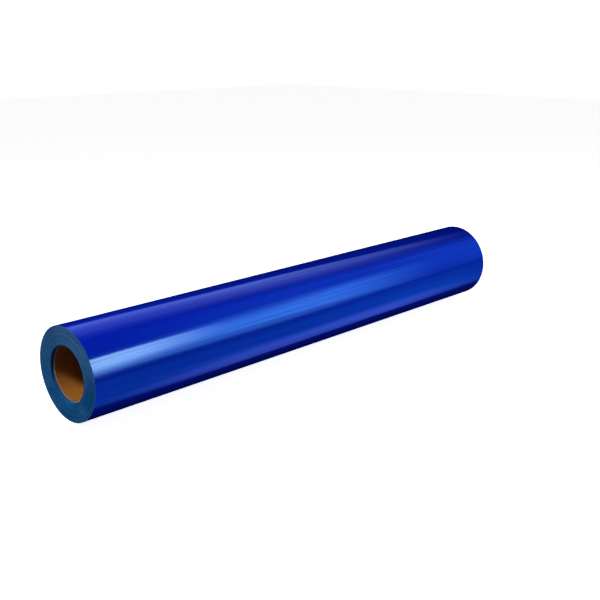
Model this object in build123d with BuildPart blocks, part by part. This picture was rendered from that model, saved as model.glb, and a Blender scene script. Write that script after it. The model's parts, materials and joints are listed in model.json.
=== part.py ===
from build123d import *
import math
import os

# A roll of self-adhesive sign vinyl, wound face out on a cardboard core.
# The roll's axis is +X, +Z is up, and the origin is on the axis at mid-length.
# Angles round the axis start at +Y and grow towards +Z.  Millimetres throughout.

# ---- driving dimensions ----------------------------------------------------------------
core_bore = 76.2  # nominal three inch core
core_wall = 3.2
facing_ply = 0.40  # smooth kraft paper that lines the core and covers it
board_ply_count = 5
core_recess = 4.5  # the core stops this far inside each end of the web
seam_pitch = 150.0  # each ply is a strip wound in a helix, and a turn advances this far
seam_width = 0.8
seam_depth = 3.0  # in thicknesses of the ply, so that the slit goes right through
seam_run_out = 60.0  # the helix of the slit starts and ends this far outside the core
seam_stagger = 137.5  # degrees from one ply's seam to the next

web_width = 914.4  # 36 inch material
web_length = 45720.0  # 50 yards
film = 0.070
adhesive = 0.023
liner = 0.120
release_gap = 0.010  # at the web's end, where the film can be peeled off its liner

start_tape_width = 25.0  # double-sided tape between the core and the first turn
start_tape_thickness = 0.09
start_tape_angle = 100.0

tail_root = 60.0  # the loose tail leaves the roll here, at the back
tail_edge = -15.0  # and the web's cut edge lies here
tail_pieces = 5
bend_gap = 0.02  # between neighbouring lengths of the tail
arc_step = 1.0  # a thin strip's arcs are drawn in lengths of at most this many degrees

tab_width = 25.4  # three tabs of tape hold the cut edge down
tab_thickness = 0.14
tab_on_tail = 14.0
tab_past_edge = 22.0
tab_count = 3
tab_spacing = 300.0

# ---- worked out from them --------------------------------------------------------------
web = film + adhesive + liner
bore_radius = core_bore / 2
core_radius = bore_radius + core_wall
core_length = web_width - 2 * core_recess
board_ply = (core_wall - 2 * facing_ply) / board_ply_count
roll_radius = math.sqrt(core_radius**2 + web_length * web / math.pi)
tail_step = (tail_root - tail_edge) / tail_pieces

# The web's outer face is a spiral that grows by one web thickness a turn.  It is drawn
# as two half circles that meet smoothly at the split: the first is centred on the axis,
# and the second's centre and radius each give up half a thickness.
split = tail_edge + 180.0
spiral_end = split + 180.0


def on_circle(radius, angle):
    """The point at this angle on a circle round the axis, in the plane across the roll."""
    turn = math.radians(angle)
    return (radius * math.cos(turn), radius * math.sin(turn))


second_centre = on_circle(web / 2, split)


def save(piece, label):
    """Name a finished piece and write it to its own file."""
    piece.part.label = label
    export_step(piece.part, f"parts/{label}.step")


# ---- cardboard core --------------------------------------------------------------------
def seamed_ply(inner, thickness, seam_angle):
    """One ply of the core: a tube slit along the helical butt joint of its paper strip."""
    start = -core_length / 2 - seam_run_out
    run = core_length + 2 * seam_run_out
    with BuildPart() as slit:
        with BuildLine():
            path = Helix(seam_pitch, run, inner + thickness / 2, (start, 0, 0), (1, 0, 0))
        with BuildSketch(Plane(origin=path @ 0, z_dir=path % 0)):
            Rectangle(seam_width, seam_depth * thickness)
        sweep(is_frenet=True)
    with BuildPart() as ply:
        with BuildSketch(Plane.YZ):
            Circle(inner + thickness)
            Circle(inner, mode=Mode.SUBTRACT)
        extrude(amount=core_length / 2, both=True)
        add(slit.part, mode=Mode.SUBTRACT)
    with BuildPart() as turned_ply:
        add(ply.part.rotate(Axis.X, seam_angle))
    return turned_ply


def make_core():
    """The plies of the core from the bore outwards: lining, boards and cover."""
    names = ["core_lining_ply"]
    names += [f"core_board_ply_{number}" for number in range(1, board_ply_count + 1)]
    names += ["core_cover_ply"]
    inner = bore_radius
    for place, name in enumerate(names):
        thickness = board_ply if "board" in name else facing_ply
        save(seamed_ply(inner, thickness, place * seam_stagger), name)
        inner += thickness


# ---- strips of a tube ------------------------------------------------------------------
def span_angle(arc_length, radius):
    """The angle in degrees that an arc of this length takes up on a circle."""
    return math.degrees(arc_length / radius)


def tube_strips(inner, outer, start, end, length, middles=(0.0,)):
    """Part of a tube round the axis, between two angles, at each of these places along X."""
    arc_count = math.ceil((end - start) / arc_step)
    arc = (end - start) / arc_count
    across = Plane.YZ.offset(-length / 2)
    edges = [across * Line(on_circle(inner, side), on_circle(outer, side)) for side in (start, end)]
    for place in range(arc_count):
        edges.append(across * CenterArc((0, 0), inner, start + place * arc, arc))
        edges.append(across * CenterArc((0, 0), outer, start + place * arc, arc))
    strip = extrude(Face(Wire(edges)), amount=length, clean=False)
    with BuildPart() as strips:
        with Locations(*[(middle, 0, 0) for middle in middles]):
            add(strip, clean=False)
    return strips


# ---- start tape ------------------------------------------------------------------------
def make_start_tape():
    """Double-sided tape along the core, under the first turn of the web."""
    half_span = span_angle(start_tape_width, core_radius) / 2
    return tube_strips(
        core_radius,
        core_radius + start_tape_thickness,
        start_tape_angle - half_span,
        start_tape_angle + half_span,
        core_length,
    )


# ---- the wound web ---------------------------------------------------------------------
def make_wound_web(start_tape):
    """All the turns under the outermost one, as one thick sleeve with a spiral outside."""
    outer = roll_radius - web
    under_tail = outer - web  # the tail rests one thickness clear of the turn below it
    with BuildPart() as sleeve:
        with BuildSketch(Plane.YZ):
            with BuildLine():
                below_tail = CenterArc((0, 0), under_tail, tail_edge, tail_root - tail_edge)
                first_half = CenterArc((0, 0), outer, tail_root, split - tail_root)
                Line(below_tail @ 1, first_half @ 0)
                CenterArc(second_centre, outer - web / 2, split, spiral_end - split)
            make_face()
            Circle(core_radius, mode=Mode.SUBTRACT)
        extrude(amount=web_width / 2, both=True)
        add(start_tape.part, mode=Mode.SUBTRACT)
    return sleeve


def make_outer_turn(depth, depth_below):
    """One layer of the outermost turn, from the tail's root round to the spiral's end."""
    outer = roll_radius - depth
    inner = roll_radius - depth_below
    with BuildPart() as turn:
        with BuildSketch(Plane.YZ):
            with BuildLine():
                outside = CenterArc((0, 0), outer, tail_root, split - tail_root)
                inside = CenterArc((0, 0), inner, tail_root, split - tail_root)
                second_outside = CenterArc(
                    second_centre, outer - web / 2, split, spiral_end - split
                )
                second_inside = CenterArc(
                    second_centre, inner - web / 2, split, spiral_end - split
                )
                Line(outside @ 0, inside @ 0)
                Line(second_outside @ 1, second_inside @ 1)
            make_face()
        extrude(amount=web_width / 2, both=True)
    return turn


# ---- the loose tail --------------------------------------------------------------------
def make_tail_layer(number, depth, depth_below):
    """One layer of one length of the tail, the lengths being counted from the root."""
    start = tail_root - number * tail_step
    half_gap = span_angle(bend_gap, roll_radius) / 2
    return tube_strips(
        roll_radius - depth_below,
        roll_radius - depth,
        start + half_gap,
        start + tail_step - half_gap,
        web_width,
    )


# ---- tape tabs -------------------------------------------------------------------------
def make_tape_tabs(start, end):
    """The same stretch of every tab, from one angle to the other, level with the film."""
    middles = [(place - (tab_count - 1) / 2) * tab_spacing for place in range(tab_count)]
    outer = roll_radius + tab_thickness
    return tube_strips(roll_radius, outer, start, end, tab_width, middles)


# ---- the whole roll --------------------------------------------------------------------
os.makedirs("parts", exist_ok=True)
make_core()

start_tape = make_start_tape()
save(start_tape, "start_tape")
save(make_wound_web(start_tape), "wound_web")

# Each layer's name, with its depths below the film's outer face.
layers = [
    ("film", 0.0, film),
    ("adhesive", film, film + adhesive),
    ("liner", film + adhesive, web),
]
for name, depth, depth_below in layers:
    save(make_outer_turn(depth, depth_below), f"outer_turn_{name}")
    for number in range(1, tail_pieces + 1):
        at_release = name == "adhesive" and number == tail_pieces
        bottom = depth_below - release_gap if at_release else depth_below
        save(make_tail_layer(number, depth, bottom), f"tail_{name}_{number}")

tab_start = tail_edge + span_angle(tab_on_tail, roll_radius)
tab_end = tail_edge - span_angle(tab_past_edge, roll_radius)
tab_fold = span_angle(bend_gap, roll_radius)
save(make_tape_tabs(tail_edge, tab_start), "tape_tabs_on_tail")
save(make_tape_tabs(tab_end, tail_edge - tab_fold), "tape_tabs_free_ends")
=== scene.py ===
import json
import math

import bmesh
import bpy
import numpy as np
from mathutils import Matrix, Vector


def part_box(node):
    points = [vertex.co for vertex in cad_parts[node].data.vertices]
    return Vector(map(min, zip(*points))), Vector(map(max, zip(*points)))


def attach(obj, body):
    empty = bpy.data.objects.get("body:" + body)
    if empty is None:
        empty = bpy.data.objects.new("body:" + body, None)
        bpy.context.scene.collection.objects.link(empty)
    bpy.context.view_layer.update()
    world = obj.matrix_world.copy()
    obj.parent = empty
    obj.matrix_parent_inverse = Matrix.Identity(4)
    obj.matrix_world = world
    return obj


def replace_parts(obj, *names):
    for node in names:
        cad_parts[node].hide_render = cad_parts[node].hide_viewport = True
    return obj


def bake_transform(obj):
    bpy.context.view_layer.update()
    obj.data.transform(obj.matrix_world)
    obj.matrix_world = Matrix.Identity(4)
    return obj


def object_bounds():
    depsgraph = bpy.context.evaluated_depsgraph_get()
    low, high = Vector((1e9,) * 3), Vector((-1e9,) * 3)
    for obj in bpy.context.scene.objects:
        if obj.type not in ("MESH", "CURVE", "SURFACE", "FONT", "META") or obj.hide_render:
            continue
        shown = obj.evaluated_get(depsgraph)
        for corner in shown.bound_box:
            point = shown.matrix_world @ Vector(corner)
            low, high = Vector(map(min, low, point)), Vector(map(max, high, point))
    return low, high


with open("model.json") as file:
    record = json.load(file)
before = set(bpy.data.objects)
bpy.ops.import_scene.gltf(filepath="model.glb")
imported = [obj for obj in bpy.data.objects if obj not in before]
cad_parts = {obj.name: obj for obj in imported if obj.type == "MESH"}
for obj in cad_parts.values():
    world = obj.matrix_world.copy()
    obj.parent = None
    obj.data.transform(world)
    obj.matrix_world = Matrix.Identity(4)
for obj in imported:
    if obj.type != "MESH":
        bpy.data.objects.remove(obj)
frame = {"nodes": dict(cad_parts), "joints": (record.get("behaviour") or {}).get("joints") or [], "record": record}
cad_low, cad_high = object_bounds()

# A roll of sign vinyl, wound face out, lying along X with its near end at -X.
# Metres throughout. Angles round the axis start at +Y and grow towards +Z, in degrees.
MM = 0.001
rng = np.random.default_rng(12)


# ---- sizes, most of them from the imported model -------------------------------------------
def joint_place(name):
    """Where the record puts this joint."""
    return next(j["pos_m"] for j in frame["joints"] if j["name"] == name)


def angle_of(place):
    """A place's angle round the roll's axis."""
    return math.degrees(math.atan2(place[2], place[1]))


def reach_of(place):
    """A place's distance from the roll's axis."""
    return math.hypot(place[1], place[2])


bore = next(m for m in frame["record"]["mounts"] if m["name"] == "core_bore")["dims"]
BORE_RADIUS = bore["r_mm"] * MM
HALF_CORE = bore["length_mm"] * MM / 2
HALF_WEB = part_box("outer_turn_film")[1].x
ROLL_RADIUS = reach_of(joint_place("tail_lift"))
FACING_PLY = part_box("core_lining_ply")[1].z - BORE_RADIUS
CORE_WALL = 3.2 * MM
CORE_RADIUS = BORE_RADIUS + CORE_WALL
BOARD_PLIES = 5
BOARD_PLY = (CORE_WALL - 2 * FACING_PLY) / BOARD_PLIES
START_TAPE = 0.10 * MM

FILM = 0.070 * MM
ADHESIVE = 0.023 * MM
LINER = 0.120 * MM
WEB = FILM + ADHESIVE + LINER
CLEAR = 0.01 * MM  # between faces that would otherwise lie in one another

TAIL_ROOT = angle_of(joint_place("tail_lift"))
TAIL_STEP = TAIL_ROOT - angle_of(joint_place("tail_bend_2"))
TAIL_PIECES = 5
TAIL_EDGE = TAIL_ROOT - TAIL_PIECES * TAIL_STEP
PEEL_ANGLE = angle_of(joint_place("film_peel"))
# each length of the loose tail lies round one joint, from the middle of one rigid length to the next
TAIL_BORDERS = [TAIL_ROOT + TAIL_STEP / 2 - place * TAIL_STEP for place in range(TAIL_PIECES)]
TAIL_BORDERS += [PEEL_ANGLE, TAIL_EDGE]
PEEL_BEND = 8.0  # degrees of the film that bend as it peels off the liner

LAYERS = [
    # layer, depth of its outer and inner face below the film's face, body at the web's cut edge
    ("film", 0.0, FILM, "film_end"),
    ("adhesive", FILM, FILM + ADHESIVE, "film_end"),
    ("liner", FILM + ADHESIVE, WEB - CLEAR, "liner_end"),
]


def turn_at(angle):
    """How far along the web from its cut edge a place on the outermost turn is, in turns."""
    return (angle - TAIL_EDGE) / 360


def web_radius(turns):
    """The film's outer face: a spiral that loses one web thickness each turn inwards."""
    return ROLL_RADIUS - WEB * turns


def on_axis(x, radius, angle):
    """Points at these places along the axis, distances from it and angles in degrees."""
    x, radius, angle = np.broadcast_arrays(x, radius, np.radians(angle))
    return np.stack([x, radius * np.cos(angle), radius * np.sin(angle)], axis=-1)


# ---- mesh helpers ------------------------------------------------------------------------
def new_object(name, verts, faces, sharp=35.0):
    """A mesh object with smooth faces, and sharp edges where faces meet at over sharp degrees."""
    mesh = bpy.data.meshes.new(name)
    mesh.from_pydata(np.asarray(verts).reshape(-1, 3).tolist(), [], faces)
    work = bmesh.new()
    work.from_mesh(mesh)
    bmesh.ops.recalc_face_normals(work, faces=work.faces)
    limit = math.radians(sharp)
    for face in work.faces:
        face.smooth = True
    for edge in work.edges:
        edge.smooth = edge.calc_face_angle(math.pi) < limit
    work.to_mesh(mesh)
    work.free()
    obj = bpy.data.objects.new(name, mesh)
    bpy.context.scene.collection.objects.link(obj)
    return obj


def shell(name, top, bottom):
    """A thin closed sheet between two grids of points of the same shape."""
    rows, columns = top.shape[:2]
    under = rows * columns
    faces = []
    for row in range(rows - 1):
        for column in range(columns - 1):
            a = row * columns + column
            faces.append((a, a + columns, a + columns + 1, a + 1))
            faces.append((under + a + 1, under + a + columns + 1, under + a + columns, under + a))
    rim = [row * columns for row in range(rows)]
    rim += [(rows - 1) * columns + column for column in range(1, columns)]
    rim += [row * columns + columns - 1 for row in range(rows - 2, -1, -1)]
    rim += list(range(columns - 2, 0, -1))
    for a, b in zip(rim, rim[1:] + rim[:1]):
        faces.append((a, b, under + b, under + a))
    return new_object(name, np.concatenate([top.reshape(-1, 3), bottom.reshape(-1, 3)]), faces)


def ring_tube(name, rings):
    """A closed tube through rings of points, each ring with the same count, the last joined to the first."""
    count = len(rings[0])
    faces = []
    for ring in range(len(rings)):
        beside = (ring + 1) % len(rings)
        for column in range(count):
            after = (column + 1) % count
            faces.append((
                ring * count + column, ring * count + after,
                beside * count + after, beside * count + column,
            ))
    return new_object(name, np.concatenate(rings), faces)


# ---- the outer turn and the loose tail ---------------------------------------------------
RIPPLES = [
    # height, waves along half of the roll, waves round it, phase: the film's faint unevenness
    (0.14 * MM, 0.30, 7, 0.4),
    (0.09 * MM, -0.45, 12, 2.1),
    (0.045 * MM, 0.60, 19, 4.0),
    (0.018 * MM, -0.90, 34, 1.3),
]
RIPPLE_DEPTH = sum(ripple[0] for ripple in RIPPLES)
END_FADE = 40 * MM


def ripple_depth(x, angle):
    """How far the film lies under its spiral, fading to nothing at the ends."""
    total = 0.0
    for height, along, around, phase in RIPPLES:
        wave = np.sin(around * np.radians(angle) + 2 * math.pi * along * x / HALF_WEB + phase)
        total = total + height * (1 + wave) / 2
    return total * np.clip((HALF_WEB - np.abs(x)) / END_FADE, 0, 1)


ALONG = {"film": 64, "adhesive": 32, "liner": 32}  # each layer's rows of faces along the roll
ANGLE_STEP = 1.5  # degrees round the roll from one row of points to the next


def web_sheet(name, from_angle, to_angle, depth, depth_below, along):
    """One layer of the web between two angles, along the whole roll."""
    steps = max(4, round(abs(to_angle - from_angle) / ANGLE_STEP)) + 1
    angle = np.linspace(from_angle, to_angle, steps)[:, None]
    x = np.linspace(-HALF_WEB, HALF_WEB, along + 1)[None, :]
    face = web_radius(turn_at(angle)) - ripple_depth(x, angle)
    return shell(name, on_axis(x, face - depth, angle), on_axis(x, face - depth_below, angle))


def film_point(angle):
    """The point of the film's outer face at this angle, half way along the roll."""
    return on_axis(0.0, web_radius(turn_at(angle)), angle).tolist()


UNDER_TAIL = 12.0  # the outer turn's sheets go on under the tail, this far past its root


def make_outer_turn(layer, depth, depth_below):
    """The outermost turn of one layer, from the tail's root right round to under the tail."""
    last = TAIL_ROOT + 360 + UNDER_TAIL
    piece = web_sheet(f"outer_{layer}", TAIL_BORDERS[0], last, depth, depth_below, ALONG[layer])
    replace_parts(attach(piece, "roll"), f"outer_turn_{layer}")
    return piece


def make_tail(layer, depth, depth_below, end_body):
    """The loose tail of one layer, in lengths that each lie round one joint."""
    pieces = []
    for place, (start, end) in enumerate(zip(TAIL_BORDERS, TAIL_BORDERS[1:])):
        name = f"loose_{layer}_{place + 1}"
        piece = web_sheet(name, start, end, depth, depth_below, ALONG[layer])
        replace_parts(piece, f"tail_{layer}_{min(place + 1, TAIL_PIECES)}")
        if place < TAIL_PIECES:
            film_point(start)
            film_point(end)
            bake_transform(piece)
        elif end_body == "liner_end":
            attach(piece, end_body)
        else:
            film_point(start)
            film_point(start - PEEL_BEND)
            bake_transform(piece)
        pieces.append(piece)
    return pieces


# ---- the turns underneath ----------------------------------------------------------------
COLUMNS = 240  # faces round each turn
CAP_DEPTH = 6 * MM  # how deep the two ends are, and the rest is one long drum
DRUM_RINGS = 9
FIRST_TURN = 1 + turn_at(TAIL_ROOT)
TURNS = math.floor((ROLL_RADIUS - CORE_RADIUS - START_TAPE) / WEB - FIRST_TURN - 1)
LINER_STARTS = FILM + ADHESIVE / 2  # how far under the film's face the edge steps back to the liner
LINER_STEP = 0.05 * MM
BAND_TURNS = 5  # turns to each slow change in how far the edges stand back
BAND_STEP = 0.16 * MM
TURN_STEP = 0.05 * MM
EDGE_MATERIALS = ["film_edge", "liner_edge", "web_inside_painted_shade"]  # an end's materials, in order of their slots


def telescoping():
    """How far each turn's edge stands back from the roll's end: slow bands and a little of its own."""
    knots = rng.random(TURNS // BAND_TURNS + 4)
    turns = np.arange(TURNS + 3)
    bands = np.interp(turns / BAND_TURNS, np.arange(len(knots)), knots)
    return BAND_STEP * bands + TURN_STEP * rng.random(len(turns))


def make_web_end(name, side):
    """One end of the wound web, with the edge of every turn: film and liner, a step apart."""
    back = telescoping()
    last = TURNS * COLUMNS
    steps = np.arange(last + COLUMNS + 1)
    angle = TAIL_ROOT + 360 * steps / COLUMNS
    # every turn stands back further at some angles than at others
    sway = 1 + 0.35 * np.sin(np.radians(angle) + side) + 0.15 * np.sin(np.radians(3 * angle) + 2 * side)
    stand_back = np.interp(steps / COLUMNS, np.arange(len(back)), back) * sway
    radius = web_radius(FIRST_TURN + steps / COLUMNS)
    film_x = side * (HALF_WEB - stand_back)
    liner_x = side * (HALF_WEB - stand_back - LINER_STEP)
    film_edge = on_axis(film_x, radius, angle)
    liner_edge = on_axis(liner_x, radius - LINER_STARTS, angle)[: last + 1]
    column_angle = TAIL_ROOT + 360 * np.arange(COLUMNS) / COLUMNS
    inside_x = side * (HALF_WEB - CAP_DEPTH)
    outer_ring = on_axis(inside_x, radius[COLUMNS], column_angle)
    inner_ring = on_axis(inside_x, radius[-1], column_angle)

    film_at = 0
    liner_at = len(film_edge)
    outer_at = liner_at + len(liner_edge)
    inner_at = outer_at + COLUMNS
    faces = []
    for k in range(last):
        faces.append((film_at + k, film_at + k + 1, liner_at + k + 1, liner_at + k))
    for k in range(last):
        inward = k + COLUMNS
        faces.append((liner_at + k, liner_at + k + 1, film_at + inward + 1, film_at + inward))
    # one face each of the wall under the outermost turn, the wall on the core and the flat back
    for k in range(COLUMNS):
        after = (k + 1) % COLUMNS
        faces.append((film_at + k, film_at + k + 1, outer_at + after, outer_at + k))
        faces.append((film_at + last + k, film_at + last + k + 1, inner_at + after, inner_at + k))
        faces.append((outer_at + k, outer_at + after, inner_at + after, inner_at + k))
    # the radial cuts where the outermost and innermost turn stop
    faces.append((film_at, liner_at, outer_at))
    faces.append((liner_at, film_at + COLUMNS, outer_at))
    faces.append((film_at + last, liner_at + last, inner_at))
    faces.append((liner_at + last, film_at + last + COLUMNS, inner_at))
    verts = np.concatenate([film_edge, liner_edge, outer_ring, inner_ring])
    piece = new_object(name, verts, faces, sharp=60.0)
    slots = np.full(len(faces), EDGE_MATERIALS.index("liner_edge"))
    slots[:last] = EDGE_MATERIALS.index("film_edge")
    walls = 2 * last  # the wall on the core is every third face from here
    # the wall on the core, the innermost turn's inside, gets painted shade: near black for the shade in the recess
    # before the core's end
    slots[walls + 1 : walls + 3 * COLUMNS : 3] = EDGE_MATERIALS.index("web_inside_painted_shade")
    piece.data.polygons.foreach_set("material_index", slots)
    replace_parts(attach(piece, "roll"), "wound_web")
    return piece


def make_web_turns():
    """The turns between the two ends, which the outermost turn covers."""
    angle = TAIL_ROOT + 360 * np.arange(COLUMNS) / COLUMNS
    outer = web_radius(FIRST_TURN + 1 + np.arange(COLUMNS) / COLUMNS) - RIPPLE_DEPTH
    inner = CORE_RADIUS + START_TAPE
    half = HALF_WEB - CAP_DEPTH
    rings = [on_axis(x, outer, angle) for x in np.linspace(-half, half, DRUM_RINGS)]
    rings += [on_axis(x, inner, angle) for x in np.linspace(half, -half, DRUM_RINGS)]
    piece = ring_tube("web_turns", rings)
    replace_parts(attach(piece, "roll"), "wound_web")
    return piece


# ---- the core ----------------------------------------------------------------------------
PLY_COLUMNS = 192
PLY_RINGS = 5
SAW_CUT = 0.25 * MM  # how uneven the core's sawn ends are


def sawn_edge(angle):
    """How far a sawn edge stands back round the roll: a closed wavy line, always between 0 and SAW_CUT."""
    total = 0.0
    for waves in (2, 5, 11, 23):
        phase = rng.uniform(0, 6.28)
        total = total + np.sin(waves * np.radians(angle) + phase) / waves**0.5
    return SAW_CUT * (1 + total / 2.2) / 2


def make_ply(name, node, inner, outer, recess):
    """One ply of the core between two radii, its ends cut a little unevenly."""
    angle = 360 * np.arange(PLY_COLUMNS) / PLY_COLUMNS
    left = -HALF_CORE + recess + sawn_edge(angle)
    right = HALF_CORE - recess - sawn_edge(angle)
    shares = np.linspace(0, 1, PLY_RINGS)
    rings = [on_axis(left + (right - left) * share, outer, angle) for share in shares]
    rings += [on_axis(left + (right - left) * share, inner, angle) for share in shares[::-1]]
    piece = ring_tube(name, rings)
    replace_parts(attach(piece, "roll"), node)
    return piece


LINING_ROWS = 320
LINING_COLUMNS = 72
LINING_CLEAR = 0.02 * MM
LINING_SHARE = 0.9  # of the facing ply's thickness, so that it stays clear of the board
SEAM_PITCH = 150 * MM
SEAM = 0.8 * MM
SEAM_CURL = 0.12 * MM  # how far the paper lifts off the wall at the seam
CURL_FADE = 2.0  # degrees


def make_lining():
    """The kraft paper that lines the core: one strip wound in a helix, its edges meeting in a seam."""
    x = np.linspace(-HALF_CORE, HALF_CORE, LINING_ROWS + 1)[:, None]
    gap = math.degrees(SEAM / BORE_RADIUS)
    across = np.linspace(gap / 2, 360 - gap / 2, LINING_COLUMNS + 1)[None, :]
    angle = across + 360 * (x + HALF_CORE) / SEAM_PITCH
    curl = SEAM_CURL * (np.exp(-across / CURL_FADE) + np.exp(-(360 - across) / CURL_FADE))
    low = BORE_RADIUS + LINING_CLEAR
    inside = on_axis(x, low + curl, angle)
    outside = on_axis(x, low + LINING_SHARE * FACING_PLY, angle)
    piece = shell("core_lining", inside, outside)
    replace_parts(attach(piece, "roll"), "core_lining_ply")
    return piece


# ---- tape tabs ---------------------------------------------------------------------------
TAB_THICKNESS = 0.14 * MM
TAB_COLUMNS = 24
TAB_ROW = 0.6  # degrees round the roll from one row of points to the next
TAB_BORDER = 2.5  # degrees from the cut edge back to where a tab's free half starts
TAB_BEND = 5.0  # degrees past the cut edge in which the free half bends
TAB_DROP = 3.0  # degrees past the cut edge in which a tab comes down one web's thickness
SAW_TOOTH = 0.7 * MM


def tab_surface(x, angle):
    """The face that a tab is stuck to: the tail, then one web lower past the cut edge."""
    past = np.clip((TAIL_EDGE - angle) / TAB_DROP, 0, 1)
    step = WEB * past * past * (3 - 2 * past)
    return web_radius(turn_at(angle)) - step - ripple_depth(x, angle) + CLEAR


def tab_grid(middle, half_width, start, end, teeth_at):
    """Rows from start to end, the row at teeth_at cut by a tape dispenser's saw blade."""
    x = np.linspace(middle - half_width, middle + half_width, TAB_COLUMNS + 1)[None, :]
    steps = max(4, round(abs(end - start) / TAB_ROW)) + 1
    share = np.linspace(0, 1, steps)[:, None]
    saw = math.degrees(SAW_TOOTH / ROLL_RADIUS) * (np.arange(TAB_COLUMNS + 1) % 2)[None, :]
    inward = 1 if end > start else -1
    cut_start = start + (saw * inward if teeth_at == "start" else 0 * saw)
    cut_end = end - (saw * inward if teeth_at == "end" else 0 * saw)
    return x, cut_start + (cut_end - cut_start) * share


def make_tab(number, middle, half_width, first, last):
    """One tab of tape, stuck over the web's cut edge: the half on the tail and the free half."""
    pieces = []
    border = TAIL_EDGE + TAB_BORDER
    halves = [("on_tail", first, border, "start"), ("free", border, last, "end")]
    for half, start, end, teeth_at in halves:
        x, angle = tab_grid(middle, half_width, start, end, teeth_at)
        face = tab_surface(x, angle)
        outside = on_axis(x, face + TAB_THICKNESS - CLEAR, angle)
        piece = shell(f"tape_tab_{number}_{half}", outside, on_axis(x, face, angle))
        if half == "on_tail":
            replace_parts(piece, "tape_tabs_on_tail")
            stops = film_point(PEEL_ANGLE), film_point(PEEL_ANGLE - PEEL_BEND)
            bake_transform(piece)
        else:
            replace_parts(piece, "tape_tabs_free_ends")
            stops = film_point(TAIL_EDGE), film_point(TAIL_EDGE - TAB_BEND)
            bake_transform(piece)
        pieces.append(piece)
    return pieces


# ---- materials ---------------------------------------------------------------------------
class Nodes:
    """A material's nodes, with short ways to add the usual ones."""

    def __init__(self, name):
        self.material = bpy.data.materials.new(name)
        self.material.use_nodes = True
        self.tree = self.material.node_tree
        self.shader = self.tree.nodes["Principled BSDF"]
        self.place = self.add("ShaderNodeTexCoord").outputs["Object"]

    def add(self, kind, **values):
        """A node with these settings."""
        node = self.tree.nodes.new(kind)
        for name, value in values.items():
            setattr(node, name, value)
        return node

    def link(self, source, target):
        """An output joined to an input."""
        self.tree.links.new(source, target)

    def scaled(self, scale):
        """The object's own coordinates, stretched."""
        mapping = self.add("ShaderNodeMapping")
        mapping.inputs["Scale"].default_value = scale
        self.link(self.place, mapping.inputs["Vector"])
        return mapping.outputs["Vector"]

    def noise(self, vector, scale, detail=3.0, rough=0.5):
        """Noise over a vector."""
        node = self.add("ShaderNodeTexNoise")
        node.inputs["Scale"].default_value = scale
        node.inputs["Detail"].default_value = detail
        node.inputs["Roughness"].default_value = rough
        self.link(vector, node.inputs["Vector"])
        return node.outputs["Fac"]

    def radius(self):
        """The distance from the roll's axis."""
        flat = self.add("ShaderNodeVectorMath", operation="MULTIPLY")
        flat.inputs[1].default_value = (0, 1, 1)
        self.link(self.place, flat.inputs[0])
        length = self.add("ShaderNodeVectorMath", operation="LENGTH")
        self.link(flat.outputs[0], length.inputs[0])
        return length.outputs["Value"]

    def bands(self, scale, detail=4.0):
        """Noise that changes only with the distance from the axis."""
        node = self.add("ShaderNodeTexNoise", noise_dimensions="1D")
        node.inputs["Scale"].default_value = scale
        node.inputs["Detail"].default_value = detail
        self.link(self.radius(), node.inputs["W"])
        return node.outputs["Fac"]

    def ramp(self, value, stops):
        """A colour ramp: stops are (position, colour) pairs."""
        node = self.add("ShaderNodeValToRGB")
        ramp = node.color_ramp
        while len(ramp.elements) < len(stops):
            ramp.elements.new(0.5)
        for element, (position, colour) in zip(ramp.elements, stops):
            element.position = position
            element.color = (*colour, 1)
        self.link(value, node.inputs["Fac"])
        return node.outputs["Color"]

    def mix(self, factor, a, b, blend="MIX"):
        """Two colours mixed, factor of the way from a to b."""
        node = self.add("ShaderNodeMix", data_type="RGBA", blend_type=blend)
        node.inputs["Factor"].default_value = factor
        self.link(a, node.inputs["A"])
        self.link(b, node.inputs["B"])
        return node.outputs["Result"]

    def span(self, value, low, high, from_low=0.3, from_high=0.7):
        """A number brought from the usual spread of noise to low and high."""
        node = self.add("ShaderNodeMapRange")
        node.inputs["From Min"].default_value = from_low
        node.inputs["From Max"].default_value = from_high
        node.inputs["To Min"].default_value = low
        node.inputs["To Max"].default_value = high
        self.link(value, node.inputs["Value"])
        return node.outputs["Result"]

    def bump(self, height, distance, strength=1.0):
        """A bump on the shader, of this height in metres."""
        node = self.add("ShaderNodeBump")
        node.inputs["Distance"].default_value = distance
        node.inputs["Strength"].default_value = strength
        self.link(height, node.inputs["Height"])
        self.link(node.outputs["Normal"], self.shader.inputs["Normal"])

    def set(self, **values):
        """Plain values on the shader's own sockets; _ stands for a space."""
        for name, value in values.items():
            self.shader.inputs[name.replace("_", " ")].default_value = value


def vinyl_film():
    """Glossy film, deep blue all through, with a trace of haze and orange peel."""
    m = Nodes("vinyl_film")
    tone = m.noise(m.scaled((1.0, 6.0, 6.0)), 3.0)
    m.link(m.ramp(tone, [(0.3, FILM_BLUE_DARK), (0.7, FILM_BLUE)]), m.shader.inputs["Base Color"])
    haze = m.noise(m.scaled((0.6, 5.0, 5.0)), 22.0, 5.0)
    m.link(m.span(haze, 0.035, 0.10), m.shader.inputs["Roughness"])
    peel = m.noise(m.scaled((0.5, 1.0, 1.0)), 260.0, 2.0)
    m.bump(peel, 0.004 * MM)
    m.set(IOR=1.5)
    return m.material


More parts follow.
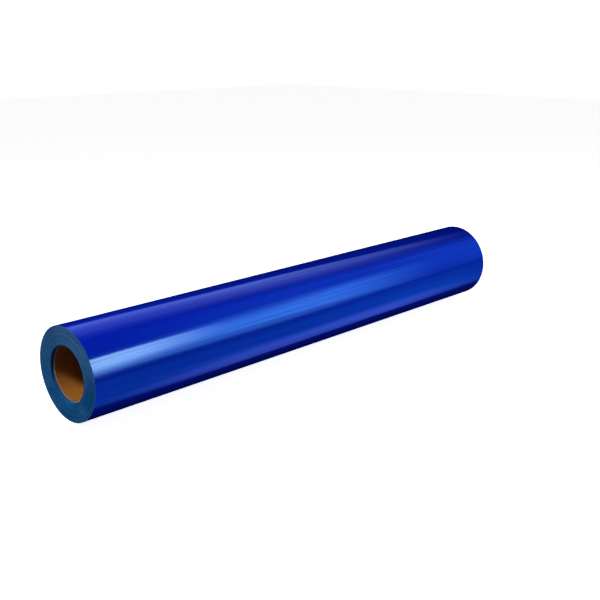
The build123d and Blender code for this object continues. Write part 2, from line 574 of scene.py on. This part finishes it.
def edge_material(name, low, high, dusty):
    """The cut edge of one layer at the roll's ends, in rings of slightly different tone."""
    m = Nodes(name)
    rings = m.ramp(m.bands(430.0), [(0.30, low), (0.72, high)])
    fine = m.ramp(m.bands(2600.0, 2.0), [(0.3, low), (0.8, high)])
    toned = m.mix(0.35, rings, fine)
    # pale dust in patches, and a painted highlight that grows towards the top of the roll, standing in for light
    # falling from above
    patches = m.noise(m.place, 26.0, 5.0, 0.6)
    dust = m.ramp(patches, [(0.40, (0, 0, 0)), (0.72, dusty)])
    place = m.add("ShaderNodeSeparateXYZ")
    m.link(m.place, place.inputs[0])
    upward = m.span(place.outputs["Z"], 0.0, 1.0, -0.02, 0.07)
    painted_top_highlight = m.ramp(upward, [(0.0, (0, 0, 0)), (1.0, (0.035, 0.045, 0.045))])
    dusted = m.mix(1.0, toned, dust, "ADD")
    m.link(m.mix(1.0, dusted, painted_top_highlight, "ADD"), m.shader.inputs["Base Color"])
    m.link(m.span(patches, 0.38, 0.6), m.shader.inputs["Roughness"])
    m.bump(m.bands(5200.0, 1.0), 0.03 * MM, 0.6)
    m.set(IOR=1.45, Specular_IOR_Level=0.12)
    return m.material


def paper(name, dark, light, stretch, roughness):
    """Paper or board: long fibres, blotches and a soft tooth."""
    m = Nodes(name)
    fibres = m.noise(m.scaled(stretch), 900.0, 4.0, 0.65)
    blotch = m.noise(m.place, 38.0, 5.0, 0.6)
    fine = m.ramp(fibres, [(0.3, dark), (0.7, light)])
    broad = m.ramp(blotch, [(0.3, dark), (0.7, light)])
    m.link(m.mix(0.45, fine, broad), m.shader.inputs["Base Color"])
    m.link(m.span(blotch, roughness - 0.08, roughness + 0.08), m.shader.inputs["Roughness"])
    m.bump(fibres, 0.05 * MM, 0.7)
    m.set(IOR=1.4, Specular_IOR_Level=0.05)
    return m.material


def smooth_layer(name, dark, light, roughness, tooth, gloss=0.5):
    """A coated or tacky layer: nearly even colour, a faint tooth."""
    m = Nodes(name)
    cloud = m.noise(m.place, 60.0, 4.0)
    m.link(m.ramp(cloud, [(0.3, dark), (0.7, light)]), m.shader.inputs["Base Color"])
    m.link(m.span(cloud, roughness - 0.05, roughness + 0.05), m.shader.inputs["Roughness"])
    m.bump(m.noise(m.place, 700.0, 2.0), tooth)
    m.set(IOR=1.45, Specular_IOR_Level=gloss)
    return m.material


FILM_BLUE = (0.0015, 0.017, 0.47)
FILM_BLUE_DARK = (0.001, 0.012, 0.41)
MATERIALS = {
    "film": vinyl_film(),
    "adhesive": smooth_layer("adhesive", (0.30, 0.36, 0.44), (0.38, 0.44, 0.52), 0.25, 0.01 * MM),
    "liner": smooth_layer("release_liner", (0.52, 0.60, 0.66), (0.62, 0.69, 0.74), 0.35, 0.01 * MM),
    "film_edge": edge_material(
        "web_edge_film", (0.002, 0.045, 0.20), (0.010, 0.15, 0.40), (0.025, 0.075, 0.09),
    ),
    "liner_edge": edge_material(
        "web_edge_liner", (0.008, 0.10, 0.25), (0.05, 0.23, 0.46), (0.04, 0.10, 0.12),
    ),
    # painted shade: the innermost turn's inside is liner, but near black here for the shade in the recess at the
    # core's end
    "web_inside_painted_shade": smooth_layer(
        "web_inside_painted_shade", (0.001, 0.003, 0.010), (0.003, 0.007, 0.022), 0.6, 0.01 * MM, 0.05,
    ),
    "kraft": paper("kraft_paper", (0.26, 0.088, 0.012), (0.46, 0.18, 0.032), (0.5, 1.6, 1.6), 0.72),
    "board": paper("core_board", (0.30, 0.235, 0.195), (0.50, 0.41, 0.35), (1.0, 1.0, 1.0), 0.85),
    "start_tape": smooth_layer("double_sided_tape", (0.5, 0.48, 0.42), (0.6, 0.58, 0.5), 0.4, 0.02 * MM),
    "tab_tape": smooth_layer("tab_tape", (0.46, 0.33, 0.16), (0.56, 0.42, 0.22), 0.18, 0.01 * MM),
}


def paint(piece, material):
    """Give a piece its material."""
    piece.data.materials.clear()
    piece.data.materials.append(MATERIALS[material])


# ---- the roll ----------------------------------------------------------------------------
for layer, depth, depth_below, end_body in LAYERS:
    turn = make_outer_turn(layer, depth, depth_below)
    tail = make_tail(layer, depth, depth_below, end_body)
    for piece in [turn, *tail]:
        paint(piece, layer)

for name, side in (("web_end_left", -1), ("web_end_right", 1)):
    end = make_web_end(name, side)
    paint(end, "film_edge")
    for material in EDGE_MATERIALS[1:]:
        end.data.materials.append(MATERIALS[material])
paint(make_web_turns(), "film")

paint(make_lining(), "kraft")
for number in range(1, BOARD_PLIES + 1):
    low = BORE_RADIUS + FACING_PLY + (number - 1) * BOARD_PLY
    node = f"core_board_ply_{number}"
    recess = rng.uniform(0.0, 0.18) * MM
    board = make_ply(f"core_board_{number}", node, low, low + BOARD_PLY - CLEAR, recess)
    paint(board, "board")
cover = make_ply("core_cover", "core_cover_ply", CORE_RADIUS - FACING_PLY, CORE_RADIUS - CLEAR, 0.05 * MM)
paint(cover, "kraft")
paint(frame["nodes"]["start_tape"], "start_tape")

tabs_low, tabs_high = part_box("tape_tabs_on_tail")
TAB_COUNT = 3
TAB_WIDTH = 25.4 * MM
TAB_SPACING = (tabs_high.x - tabs_low.x - TAB_WIDTH) / (TAB_COUNT - 1)
TAB_FIRST = math.degrees(math.asin(tabs_high.z / (ROLL_RADIUS + TAB_THICKNESS)))
TAB_LAST = math.degrees(math.asin(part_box("tape_tabs_free_ends")[0].z / (ROLL_RADIUS + TAB_THICKNESS)))
for number in range(TAB_COUNT):
    middle = (number - (TAB_COUNT - 1) / 2) * TAB_SPACING
    for piece in make_tab(number + 1, middle, TAB_WIDTH / 2, TAB_FIRST, TAB_LAST):
        paint(piece, "tab_tape")


# ---- floor, light and camera -------------------------------------------------------------
FLOOR_HALF = 6.0
FLOOR_DROP = 0.2 * MM
FLOOR_GLOW = 0.84
LIGHT_FROM_BELOW = 0.03
LIGHT_FROM_ABOVE = 0.14


def make_floor():
    """A plain white floor under the roll. It glows, so that only the roll's own shade darkens it."""
    corners = [(-1, -1), (1, -1), (1, 1), (-1, 1)]
    verts = [(FLOOR_HALF * x, FLOOR_HALF * y, cad_low.z - FLOOR_DROP) for x, y in corners]
    floor = new_object("floor", verts, [(0, 1, 2, 3)])
    m = Nodes("floor")
    m.set(Base_Color=(0.9, 0.9, 0.9, 1), Roughness=1.0, IOR=1.0)
    m.set(Emission_Color=(1, 1, 1, 1), Emission_Strength=FLOOR_GLOW)
    floor.data.materials.append(m.material)
    floor.visible_glossy = False
    floor.visible_diffuse = False
    floor.visible_shadow = False


def make_world():
    """White behind the roll; light from all round, less from below; nothing for gloss to mirror."""
    world = bpy.data.worlds.new("studio")
    bpy.context.scene.world = world
    world.use_nodes = True
    tree = world.node_tree
    shade = tree.nodes["Background"]
    shade.inputs["Color"].default_value = (1, 1, 1, 1)
    rays = tree.nodes.new("ShaderNodeLightPath")
    place = tree.nodes.new("ShaderNodeTexCoord")
    split = tree.nodes.new("ShaderNodeSeparateXYZ")
    height = tree.nodes.new("ShaderNodeMapRange")
    height.inputs["From Min"].default_value = -0.7
    height.inputs["From Max"].default_value = 0.7
    height.inputs["To Min"].default_value = LIGHT_FROM_BELOW
    height.inputs["To Max"].default_value = LIGHT_FROM_ABOVE
    pick = tree.nodes.new("ShaderNodeMix")
    pick.inputs["B"].default_value = 1.0
    tree.links.new(place.outputs["Generated"], split.inputs[0])
    tree.links.new(split.outputs["Z"], height.inputs["Value"])
    tree.links.new(rays.outputs["Is Camera Ray"], pick.inputs["Factor"])
    tree.links.new(height.outputs["Result"], pick.inputs["A"])
    tree.links.new(pick.outputs["Result"], shade.inputs["Strength"])
    world.cycles_visibility.glossy = False


PANEL_STEPS = 24


def ramp_up(tree, value, low, high):
    """0 up to low, 1 from high on, and a soft step between; low may be the larger of the two."""
    step = tree.nodes.new("ShaderNodeMapRange")
    step.interpolation_type = "SMOOTHSTEP"
    step.inputs["From Min"].default_value = min(low, high)
    step.inputs["From Max"].default_value = max(low, high)
    step.inputs["To Min"].default_value = float(low > high)
    step.inputs["To Max"].default_value = float(low < high)
    tree.links.new(value, step.inputs["Value"])
    return step.outputs["Result"]


def panel_light(name, colour, strength, edges, ends):
    """Light that fades towards the panel's rims. The panel is clear, so light behind it shines through."""
    material = bpy.data.materials.new(name)
    material.use_nodes = True
    tree = material.node_tree
    tree.nodes.clear()
    coords = tree.nodes.new("ShaderNodeTexCoord")
    split = tree.nodes.new("ShaderNodeSeparateXYZ")
    tree.links.new(coords.outputs["UV"], split.inputs[0])
    # faint slanting folds in the panel's cloth
    folds = tree.nodes.new("ShaderNodeMapping")
    folds.inputs["Rotation"].default_value = (0.0, 0.35, 0.2)
    folds.inputs["Scale"].default_value = (1.1, 8.0, 8.0)
    tree.links.new(coords.outputs["Object"], folds.inputs["Vector"])
    cloth = tree.nodes.new("ShaderNodeTexNoise")
    cloth.inputs["Scale"].default_value = 1.0
    tree.links.new(folds.outputs["Vector"], cloth.inputs["Vector"])
    shade = tree.nodes.new("ShaderNodeMapRange")
    shade.inputs["From Min"].default_value = 0.35
    shade.inputs["From Max"].default_value = 0.65
    shade.inputs["To Min"].default_value = 0.75 * strength
    shade.inputs["To Max"].default_value = 1.25 * strength
    tree.links.new(cloth.outputs["Fac"], shade.inputs["Value"])
    power = shade.outputs["Result"]
    fades = [
        # across or along the panel, share where the light starts, share where it is full
        ("Y", 0.0, edges[0]),
        ("Y", 1.0, 1 - edges[1]),
        ("X", 0.0, ends[0]),
        ("X", 1.0, 1 - ends[1]),
    ]
    for way, dark, bright in fades:
        times = tree.nodes.new("ShaderNodeMath")
        times.operation = "MULTIPLY"
        tree.links.new(power, times.inputs[0])
        tree.links.new(ramp_up(tree, split.outputs[way], dark, bright), times.inputs[1])
        power = times.outputs[0]
    glow = tree.nodes.new("ShaderNodeEmission")
    glow.inputs["Color"].default_value = (*colour, 1)
    tree.links.new(power, glow.inputs["Strength"])
    clear = tree.nodes.new("ShaderNodeBsdfTransparent")
    both = tree.nodes.new("ShaderNodeAddShader")
    tree.links.new(glow.outputs[0], both.inputs[0])
    tree.links.new(clear.outputs[0], both.inputs[1])
    out = tree.nodes.new("ShaderNodeOutputMaterial")
    tree.links.new(both.outputs[0], out.inputs["Surface"])
    return material


def make_panel(name, span, near, far, colour, strength, edges=(0.2, 0.2), ends=(0.1, 0.1), distance=1.4):
    """A long curved panel of soft light round the axis, seen only in the roll's gloss.

    It runs from span[0] to span[1] along X. near and far are the angles that it covers at those
    two ends: 90 is straight above the roll and 180 in front. edges and ends are the shares of its
    height and length that fade.
    """
    share = np.linspace(0, 1, PANEL_STEPS + 1)
    start = near[0] + (far[0] - near[0]) * share[None, :]
    end = near[1] + (far[1] - near[1]) * share[None, :]
    angle = start + (end - start) * share[:, None]
    x = span[0] + (span[1] - span[0]) * share[None, :]
    row = PANEL_STEPS + 1
    faces = []
    for place in range(PANEL_STEPS * row):
        if (place + 1) % row:
            faces.append((place, place + 1, place + 1 + row, place + row))
    panel = new_object(name, on_axis(x, distance, angle), faces)
    layer = panel.data.uv_layers.new(name="across")
    for loop in panel.data.loops:
        place = loop.vertex_index
        layer.data[loop.index].uv = (share[place % row], share[place // row])
    panel.data.materials.append(panel_light(name, colour, strength, edges, ends))
    panel.visible_camera = False
    panel.visible_diffuse = False
    panel.visible_shadow = False


def make_lamp(name, place, aim, size, power):
    """A soft white square lamp that lights but isn't mirrored."""
    data = bpy.data.lights.new(name, "AREA")
    data.shape = "SQUARE"
    data.size = size
    data.energy = power
    lamp = bpy.data.objects.new(name, data)
    lamp.location = place
    lamp.rotation_mode = "QUATERNION"
    lamp.rotation_quaternion = (Vector(aim) - Vector(place)).to_track_quat("-Z", "Y")
    lamp.visible_glossy = False
    bpy.context.scene.collection.objects.link(lamp)


make_floor()
make_world()
# In front: a bright strip whose upper edge is crisp, and a longer, bluer one round it.
make_panel("front_strip", (0.0, 0.8), (138, 184), (138, 178), (0.5, 0.85, 1.0), 9.5,
           edges=(0.15, 0.6), ends=(0.2, 0.65), distance=1.30)
make_panel("front_glow", (0.0, 2.0), (132, 190), (118, 188), (0.08, 0.35, 1.0), 7.0,
           edges=(0.4, 0.3), ends=(0.2, 0.45), distance=1.34)
# All round it: dim blue cloth, lighter behind and low down, where it shows as two pale bands.
make_panel("front_fill", (0.0, 3.0), (180, 266), (176, 262), (0.01, 0.16, 1.0), 2.3,
           edges=(0.3, 0.2), ends=(0.1, 0.4), distance=1.38)
make_panel("upper_fill", (0.2, 3.0), (84, 200), (84, 200), (0.02, 0.13, 1.0), 2.7,
           edges=(0.25, 0.35), ends=(0.35, 0.1), distance=1.42)
make_panel("back_band", (0.0, 2.6), (26, 92), (62, 108), (0.24, 0.36, 1.0), 2.1,
           edges=(0.12, 0.7), ends=(0.05, 0.6), distance=1.46)
make_panel("low_band", (0.3, 2.6), (218, 272), (216, 266), (0.15, 0.20, 1.0), 1.5,
           edges=(0.6, 0.2), ends=(0.3, 0.4), distance=1.50)
# For looks from the other end and from behind.
make_panel("front_other", (-3.0, 0.0), (136, 182), (136, 182), (0.45, 0.75, 1.0), 5.0,
           edges=(0.15, 0.6), distance=1.30)
make_panel("back_other", (-3.0, 0.0), (14, 60), (14, 60), (0.45, 0.75, 1.0), 3.5,
           edges=(0.3, 0.5), distance=1.34)
make_panel("all_other", (-3.0, 0.3), (60, 270), (60, 270), (0.12, 0.3, 1.0), 1.6, distance=1.38)
# Lamps: above the near end, past the far end, behind the roll and in front of it.
make_lamp("key", (-1.12, 0.12, 1.15), (-0.45, 0, 0), 0.3, 13.5)
make_lamp("far_end", (1.55, 0.2, 0.3), (0.45, 0, 0), 0.4, 4.5)
make_lamp("back", (0.1, 2.1, 0.1), (0, 0, 0), 1.2, 9.0)
make_lamp("side", (0.4, -2.1, 0.5), (0, 0, 0), 1.2, 22.0)

# The camera's place and direction, and the lens that shows the roll at its real size.
CAMERA_PLACE = Vector((-1.06235, -1.03468, 0.44680))
CAMERA_AZIMUTH = 45.75
CAMERA_DIP = 16.42
LENS = 54.2
camera = bpy.data.objects.new("camera", bpy.data.cameras.new("camera"))
dip, azimuth = math.radians(CAMERA_DIP), math.radians(CAMERA_AZIMUTH)
ahead = Vector((math.sin(azimuth) * math.cos(dip), math.cos(azimuth) * math.cos(dip), -math.sin(dip)))
camera.location = CAMERA_PLACE
camera.rotation_mode = "QUATERNION"
camera.rotation_quaternion = ahead.to_track_quat("-Z", "Y")
camera.data.lens = LENS
camera.data.sensor_width = 36.0
camera.data.clip_start = 0.02
camera.data.clip_end = 50.0
bpy.context.scene.collection.objects.link(camera)
bpy.context.scene.camera = camera
bpy.context.scene.view_settings.view_transform = "Standard"
